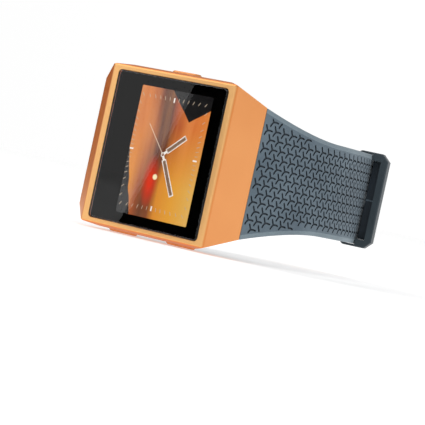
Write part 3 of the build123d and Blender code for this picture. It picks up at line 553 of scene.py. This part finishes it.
def strap_piece(strap, holes, marks_to, pockets):
    """The visible strap: marked outer face, bevelled borders, plain inner face, slots and pockets.

    Returns the points, the faces and each face's material number."""
    count = max(2, round(strap.end / STEP))
    stations = {strap.end * k / count for k in range(count + 1)}
    if strap.tip_round:
        stations |= {strap.end - strap.tip_round * f for f in (0.55, 0.35, 0.2, 0.1, 0.04)}
    stations = sorted(stations)
    n = len(stations)
    points, faces, slots = [], [], []

    def add(s, w, depth=None, height=None):
        points.append(strap.point(s, w, depth, height))
        return len(points) - 1

    def face(loop, slot=RUBBER):
        faces.append(tuple(loop))
        slots.append(slot)

    def wall(top, bottom, slot=RUBBER):
        for i in range(len(top)):
            j = (i + 1) % len(top)
            face((top[i], top[j], bottom[j], bottom[i]), slot)

    def land(inset, depth, height, cuts):
        """A face between the borders: up the +w side, then back down the other."""
        outline = [(s, strap.half_at(s) - inset) for s in stations]
        outline += [(s, -w) for s, w in reversed(outline)]
        flat, triangles, loops = fill(outline, cuts)
        base = len(points)
        for s, w in flat:
            add(s, w, depth, height)
        for t in triangles:
            face([base + i for i in t])
        return [[base + i for i in loop] for loop in loops]

    slots_through = [stadium(s, 0, HOLE_L + SLOT_EASE, HOLE_W) for s in holes]
    sites = mark_sites(strap, holes, marks_to)
    spin = strap.route.outside

    def mark(s, w, arms, inset):
        shape = mark_outline(MARK_HALF_W - inset, spin, arms)
        return [(s + x, w + y) for x, y in shape]

    marks = [mark(s, w, arms, 0.0) for s, w, arms in sites]
    outer = land(BORDER_LINES[0][0], 0.0, None, slots_through + marks)
    inner = land(INNER_LINES[-1][0], None, 0.0, slots_through + pockets)

    # the border and the side wall along each edge, then the two ends
    lines = [(inset, depth, 0.0) for inset, depth in BORDER_LINES[1:]]
    lines += [(inset, None, height) for inset, height in INNER_LINES[:-1]]
    sides = []
    for side in (1, -1):
        part = slice(0, n) if side > 0 else slice(2 * n - 1, n - 1, -1)
        rings = [outer[0][part]]
        for inset, depth, height in lines:
            ring = []
            for s in stations:
                w, bevel = side * (strap.half_at(s) - inset), strap.bevel_at(s)
                ring.append(add(s, w, None, height * bevel) if depth is None else add(s, w, depth * bevel))
            rings.append(ring)
        rings.append(inner[0][part])
        # the bevel faces along each edge take the lighter colour, a painted highlight
        for i, (a, b) in enumerate(zip(rings, rings[1:])):
            for k in range(n - 1):
                face((a[k], a[k + 1], b[k + 1], b[k]), BEVEL_HIGHLIGHT if i < len(BORDER_LINES) - 1 else RUBBER)
        sides.append(rings)
    for end in (0, n - 1):
        # the tail's cut end, deep in the keeper, takes the darker painted-shade colour
        in_keeper = end and strap.tip_round
        face([ring[end] for ring in sides[0]] + [ring[end] for ring in reversed(sides[1])],
             PAINTED_SHADE if in_keeper else RUBBER)

    for k in range(len(holes)):
        wall(outer[1 + k], inner[1 + k])
    for loop, rim in zip(pockets, inner[1 + len(holes):]):
        floor = [add(s, w, None, POCKET_DEPTH) for s, w in loop]
        wall(rim, floor)
        face(floor)
    # the marks: walls down to a narrower floor, both in the darker painted-shade colour
    floors = {}
    for (s, w, arms), rim in zip(sites, outer[1 + len(holes):]):
        if arms not in floors:
            _, triangles, loops = fill(mark(0.0, 0.0, arms, MARK_TAPER), [])
            place = {v: i for i, v in enumerate(loops[0])}
            floors[arms] = [[place[i] for i in t] for t in triangles]
        floor = [add(*p, MARK_DEPTH) for p in mark(s, w, arms, MARK_TAPER)]
        wall(rim, floor, PAINTED_SHADE)
        for t in floors[arms]:
            face([floor[i] for i in t], PAINTED_SHADE)
    return points, faces, slots


def mark_sites(strap, holes, marks_to):
    """Staggered rows of marks: each one's place, and how much of each arm is clear of the borders and ends.

    The row of slots stays plain all along."""
    sites = []
    rim = MARK_HALF_W + MARK_CLEAR
    last = min(marks_to, strap.end - strap.tip_round - rim)
    rows = int(LUG_Z / 2 / MARK_ROW) + 1

    def clear(s, w):
        beside_slot = abs(w) < HOLE_W / 2 + HOLE_CLEAR and any(abs(s - h) < HOLE_PITCH / 2 for h in holes)
        return rim < s < last and abs(w) + rim < strap.half_at(s) - BORDER and not beside_slot

    for row in range(-rows, rows + 1):
        w = row * MARK_ROW
        s = MARK_PITCH / 2 if row % 2 else 0.0
        while s < last + MARK_PITCH:
            fractions = []
            for k in range(3):
                tips = [(f, arm_point(k, f, 0, MARK_HALF_W, strap.route.outside)) for f in ARM_FRACTIONS]
                fractions.append(next((f for f, (x, y) in tips if clear(s + x, w + y)), 0.0))
            if clear(s, w) and any(fractions):
                sites.append((s, w, tuple(fractions)))
            s += MARK_PITCH
    return sites


def knuckle(strap, w_inner, w_outer):
    """One finger of the upper strap's end, round the buckle pin on one side of the tang's slot."""
    side = 1 if w_outer > 0 else -1
    s0, s1 = strap.end, strap.route.length
    r = strap.t / 2
    points, faces = [], []
    rows = [(w_inner, 0.0)] + [(w_outer - side * inset, cut) for inset, cut in KNUCKLE_EDGE]
    for w, cut in rows:
        outline = [(s0, cut)]
        turns = [pi * k / KNUCKLE_STEPS for k in range(KNUCKLE_STEPS + 1)]
        outline += [(s1 + (r - cut) * sin(turn), r - (r - cut) * cos(turn)) for turn in turns]
        outline += [(s0, strap.t - cut)]
        for s, depth in outline:
            past = max(0.0, s - s1)
            x, y, heading = strap.route.at(s1 if past else s, -depth)
            points.append((x + past * sin(heading), y + past * cos(heading), w))
    n = len(points) // len(rows)
    for a in range(len(rows) - 1):
        for k in range(n):
            j = (k + 1) % n
            faces.append((a * n + k, a * n + j, (a + 1) * n + j, (a + 1) * n + k))
    faces.append(tuple(range(n)))
    faces.append(tuple(range((len(rows) - 1) * n, len(rows) * n)))
    return points, faces


def strap_object(name, parts):
    """One object from (points, faces, slots) parts, all facing outwards."""
    points, faces, slots = [], [], []
    for part_points, part_faces, part_slots in parts:
        base = len(points)
        points += part_points
        faces += [tuple(base + i for i in f) for f in part_faces]
        slots += part_slots
    obj = mesh_object(name, points, faces, slots=slots)
    grid = bmesh.new()
    grid.from_mesh(obj.data)
    bmesh.ops.recalc_face_normals(grid, faces=grid.faces)
    grid.to_mesh(obj.data)
    grid.free()
    obj.data.set_sharp_from_angle(angle=radians(SHARP))
    # the second material is the darker painted-shade slate
    for material in (silicone("slate_silicone", SLATE_LOW, SLATE_HIGH),
                     silicone("slate_silicone_painted_shade", SLATE_PAINTED_SHADE, SLATE_PAINTED_SHADE_HIGH),
                     # the third material is the lighter painted-highlight slate
                     silicone("slate_silicone_bevel_highlight", SLATE_BEVEL_HIGHLIGHT, SLATE_BEVEL_HIGHLIGHT_HIGH)):
        obj.data.materials.append(material)
    return obj


# ================================================================ straps
keeper_s = side_length - KEEPER_BEFORE_BEND - KEEPER_W
tip_s = lower_route.length
upper = Strap(upper_route, UPPER_T, UPPER_HALF, KNUCKLE_HALF,
              end=upper_route.length - TANG_SLOT_AHEAD, bevel_to=keeper_s - FADE_L)
lower = Strap(lower_route, LOWER_T, LOWER_HALF, LOWER_HALF,
              end=tip_s, bevel_to=tip_s - TAIL_IN_KEEPER - FADE_L, tip_round=TIP_ROUND)
release_s = RELEASE_AT * ROOT_BLEND / upper.inner_length
release_half = (RELEASE_L / 2 + POCKET_FIT) * ROOT_BLEND / upper.inner_length
pocket_z = RELEASE_Z / 2 + POCKET_FIT
pocket_loop = rectangle(release_s - release_half, release_s + release_half, -pocket_z, pocket_z)
hole_middle = (ramp_at + ramp_end) / 2 + HOLE_SHIFT
holes = [hole_middle + k * HOLE_PITCH for k in range(-HOLES_EACH_WAY, HOLES_EACH_WAY + 1)]

upper_parts = [strap_piece(upper, [], upper.end, [pocket_loop])]
for side in (-1, 1):
    points, faces = knuckle(upper, side * TANG_SLOT / 2, side * KNUCKLE_HALF)
    upper_parts.append((points, faces, [RUBBER] * len(faces)))
upper_strap = strap_object("upper_strap_moulded", upper_parts)
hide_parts("upper_strap")
lower_strap = strap_object("lower_strap_moulded", [strap_piece(lower, holes, lower.end, [pocket_loop])])
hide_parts("lower_strap")
for strap in (upper_strap, lower_strap):
    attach(strap, "watch")

# ================================================================ dial
DIAL_Y0, DIAL_Y1 = 1.205, 1.235             # lit marks lie between the cover glass and the display
DIAL_X, DIAL_Z = 1.25, 0.05                 # the hands' centre
TRACK_X, TRACK_Z = 10.0, 13.1               # half sizes of the oblong minute track
HAND_W, HAND_LINE, NECK = 1.25, 0.27, 1.4
HUB, HUB_LINE = 0.4, 0.18


def bars(name, strips, material):
    """Thin flat oblongs, each from one (x, z) to another with a width, as one mesh on the dial."""
    points, faces = [], []
    for (x0, z0), (x1, z1), width in strips:
        run = Vector((x1 - x0, z1 - z0)).normalized() * (width / 2)
        corners = [(x0 - run.y, z0 + run.x), (x0 + run.y, z0 - run.x),
                   (x1 + run.y, z1 - run.x), (x1 - run.y, z1 + run.x)]
        base = len(points)
        points += [(DIAL_X + x, y, DIAL_Z + z) for y in (DIAL_Y0, DIAL_Y1) for x, z in corners]
        faces += [tuple(base + i for i in f) for f in ((0, 1, 2, 3), (7, 6, 5, 4), (0, 4, 5, 1), (1, 5, 6, 2),
                                                       (2, 6, 7, 3), (3, 7, 4, 0))]
    obj = mesh_object(name, points, faces)
    obj.data.materials.append(material)
    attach(obj, "watch")
    return obj


def hand(angle, length):
    """An outlined bar on a narrow neck: its white lines, then the strip that fills it."""
    u = Vector((cos(angle), -sin(angle)))
    v = Vector((-u.y, u.x))
    start, end, side = u * NECK, u * length, v * (HAND_W - HAND_LINE) / 2
    half = u * HAND_LINE / 2
    lines = [(start - half + side, end + side, HAND_LINE), (start - half - side, end - side, HAND_LINE),
             (start - side, start + side, HAND_LINE), (end - half - side, end - half + side, HAND_LINE),
             (u * 0.35, start, 2.2 * HAND_LINE)]
    return lines, (start, end, HAND_W - HAND_LINE)


def ticks(numbers, length, width):
    strips = []
    for k in numbers:
        u = Vector((cos(radians(6 * k)), -sin(radians(6 * k))))
        reach = min(TRACK_X / max(abs(u.x), 1e-6), TRACK_Z / max(abs(u.y), 1e-6))
        strips.append((u * (reach - length), u * reach, width))
    return strips


hour_lines, hour_fill = hand(radians(-40), 7.4)
minute_lines, minute_fill = hand(radians(61), 10.2)
second = Vector((-5.7, 6.4))
hub = [((-HUB, -HUB), (HUB, -HUB), HUB_LINE), ((-HUB, HUB), (HUB, HUB), HUB_LINE),
       ((-HUB, -HUB), (-HUB, HUB), HUB_LINE), ((HUB, -HUB), (HUB, HUB), HUB_LINE)]
white = lit("dial_white", srgb(255, 246, 236), 1.0)
bars("watch_hands", hour_lines + minute_lines + hub, white)
bars("second_hand", [((0, 0), second, 0.14)], lit("dial_second", srgb(250, 220, 190), 0.9))
bars("hand_centres", [hour_fill, minute_fill], lit("dial_brown", srgb(150, 112, 84), 0.8))
bars("hour_ticks", ticks(range(0, 60, 15), 1.1, 0.36), white)
minutes = [k for k in range(60) if k % 15]
bars("minute_ticks", ticks(minutes, 0.85, 0.13), lit("dial_grey", srgb(214, 190, 160), 0.8))

# ================================================================ materials on the CAD nodes
metal = anodised()
FINISHES = {
    "orange_anodised": metal,
    "black_glass": dark_glass("black_glass"),
    "black_ink": plain("black_ink", srgb(6, 6, 7), 0.6, depth=0.0, Specular_IOR_Level=0.1),
    "black_glue": plain("black_glue", srgb(14, 14, 15), 0.7),
    "display": display_picture(),
    "backlight": plain("backlight", srgb(226, 228, 232), 0.5),
    "flex_film": plain("flex_film", srgb(178, 110, 34), 0.35, vary=0.3),
    "chassis_metal": plain("chassis_metal", srgb(168, 170, 174), 0.42, 1.0, 5000),
    "steel": brushed("steel", srgb(196, 198, 202), 2),
    "circuit_board": circuit(),
    "chip_black": plain("chip_black", srgb(22, 22, 24), 0.45),
    "capacitor": plain("capacitor", srgb(150, 120, 88), 0.4),
    "battery_foil": plain("battery_foil", srgb(170, 174, 178), 0.3, 1.0, 1200, 0.00006),
    "copper": brushed("copper", srgb(196, 118, 74), 2, 0.4),
    "gold_contact": plain("gold_contact", srgb(226, 178, 88), 0.25, 1.0, 6000, 0.00001),
    "vent_membrane": plain("vent_membrane", srgb(232, 232, 228), 0.8),
    "back_plastic": plain("back_plastic", srgb(28, 30, 32), 0.5, grain=4500, depth=0.00003, vary=0.25),
    "sensor_glass": plain("sensor_glass", srgb(7, 7, 9), 0.06, grain=800, depth=0.000001, Coat_Weight=0.6),
    "led_lens": plain("led_lens", srgb(196, 226, 190), 0.15, Coat_Weight=0.5),
    "photodiode": plain("photodiode", srgb(38, 30, 48), 0.2),
    "magnet": brushed("magnet", srgb(150, 150, 154), 1, 0.35),
    "seal_rubber": plain("seal_rubber", srgb(20, 20, 21), 0.75),
    "slate_silicone": silicone("slate_silicone_plain", SLATE_LOW, SLATE_HIGH),
}
slot_of = {part["node"]: part["material_slot"] for part in frame["record"]["subparts"]}
for name, node in frame["nodes"].items():
    node.data.materials.clear()
    node.data.materials.append(FINISHES[slot_of[name]])
# the keeper loop gets the darker slate, painted shade
frame["nodes"]["keeper_loop"].data.materials[0] = silicone("slate_silicone_keeper_shade", KEEPER_SHADE_LOW, KEEPER_SHADE_HIGH)

# ================================================================ camera, light and floor
camera = bpy.data.objects.new("camera", bpy.data.cameras.new("camera"))
scene.collection.objects.link(camera)
scene.camera = camera
camera.data.lens, camera.data.sensor_width = CAMERA_LENS, SENSOR_WIDTH
camera.data.clip_start, camera.data.clip_end = 0.01, 20
camera.location = CAMERA_AT
look = (Vector(CAMERA_AIM) - Vector(CAMERA_AT)).normalized()
camera.rotation_mode = "QUATERNION"
roll = Matrix.Rotation(CAMERA_ROLL, 3, "Z").to_quaternion()
camera.rotation_quaternion = look.to_track_quat("-Z", "Y") @ roll

scene.view_settings.view_transform = "Standard"


def studio_world():
    """Soft surrounding light; its brightness changes along X as WORLD_ACROSS says."""
    world = bpy.data.worlds.new("studio")
    world.use_nodes = True
    tree = world.node_tree
    coords = tree.nodes.new("ShaderNodeTexCoord")
    split = tree.nodes.new("ShaderNodeSeparateXYZ")
    tree.links.new(coords.outputs["Generated"], split.inputs[0])
    across = tree.nodes.new("ShaderNodeMapRange")
    across.inputs["From Min"].default_value = -1.0
    tree.links.new(split.outputs["X"], across.inputs["Value"])
    ramp = tree.nodes.new("ShaderNodeValToRGB")
    tree.links.new(across.outputs[0], ramp.inputs["Fac"])
    while len(ramp.color_ramp.elements) < len(WORLD_ACROSS):
        ramp.color_ramp.elements.new(0.5)
    for element, (x, light) in zip(ramp.color_ramp.elements, WORLD_ACROSS):
        element.position = (x + 1) / 2
        element.color = (light, light, light, 1)
    background = tree.nodes["Background"]
    tree.links.new(ramp.outputs["Color"], background.inputs["Color"])
    background.inputs["Strength"].default_value = WORLD_LIGHT
    scene.world = world


studio_world()


def softbox(name, at, aim, size, watts):
    light = bpy.data.objects.new(name, bpy.data.lights.new(name, "AREA"))
    light.data.shape = "RECTANGLE"
    light.data.size, light.data.size_y = size, size
    light.data.energy = watts
    light.location = at
    light.rotation_mode = "QUATERNION"
    light.rotation_quaternion = (Vector(aim) - Vector(at)).to_track_quat("-Z", "Y")
    scene.collection.objects.link(light)


def panel(name, corners, colour, glow=0.0):
    """A flat sheet in the studio, from four corners in metres."""
    mesh = bpy.data.meshes.new(name)
    mesh.from_pydata(corners, [], [(0, 1, 2, 3)])
    obj = bpy.data.objects.new(name, mesh)
    scene.collection.objects.link(obj)
    material = plain(name, colour, 0.9, vary=0.02, grain=40.0, depth=0.0)
    shader = material.node_tree.nodes["Principled BSDF"]
    shader.inputs["Emission Color"].default_value = (1, 1, 1, 1)
    shader.inputs["Emission Strength"].default_value = glow
    mesh.materials.append(material)
    return obj


def unseen(card):
    """The card only shows in mirror images."""
    card.visible_camera = card.visible_shadow = card.visible_diffuse = False


floor_z = cad_box[0].z - FLOOR_DROP
panel("floor", [(x * FLOOR_HALF, y * FLOOR_HALF, floor_z) for x, y in ((-1, -1), (1, -1), (1, 1), (-1, 1))],
      (0.9, 0.9, 0.9, 1), FLOOR_GLOW)
# the glass mirrors a black card over the right part of its face
unseen(panel("black_card", [(FLAG_TOP[0], FLAG_Y, FLAG_TOP[1]), (FLAG_FAR, FLAG_Y, FLAG_TOP[1]),
                            (FLAG_FAR, FLAG_Y, FLAG_BOTTOM[1]), (FLAG_BOTTOM[0], FLAG_Y, FLAG_BOTTOM[1])],
             (0.0, 0.0, 0.0, 1)))
# a warm dark card beside the 6 o'clock lug, so that its slope is deeper in colour than the other
unseen(panel("side_card", [(*SIDE_CARD_A, SIDE_CARD_BOTTOM), (*SIDE_CARD_B, SIDE_CARD_BOTTOM),
                           (*SIDE_CARD_B, SIDE_CARD_TOP), (*SIDE_CARD_A, SIDE_CARD_TOP)],
             (0.3, 0.09, 0.0, 1)))
softbox("key", KEY_AT, KEY_AIM, KEY_SIZE, KEY_WATTS)
softbox("top", TOP_AT, TOP_AIM, TOP_SIZE, TOP_WATTS)
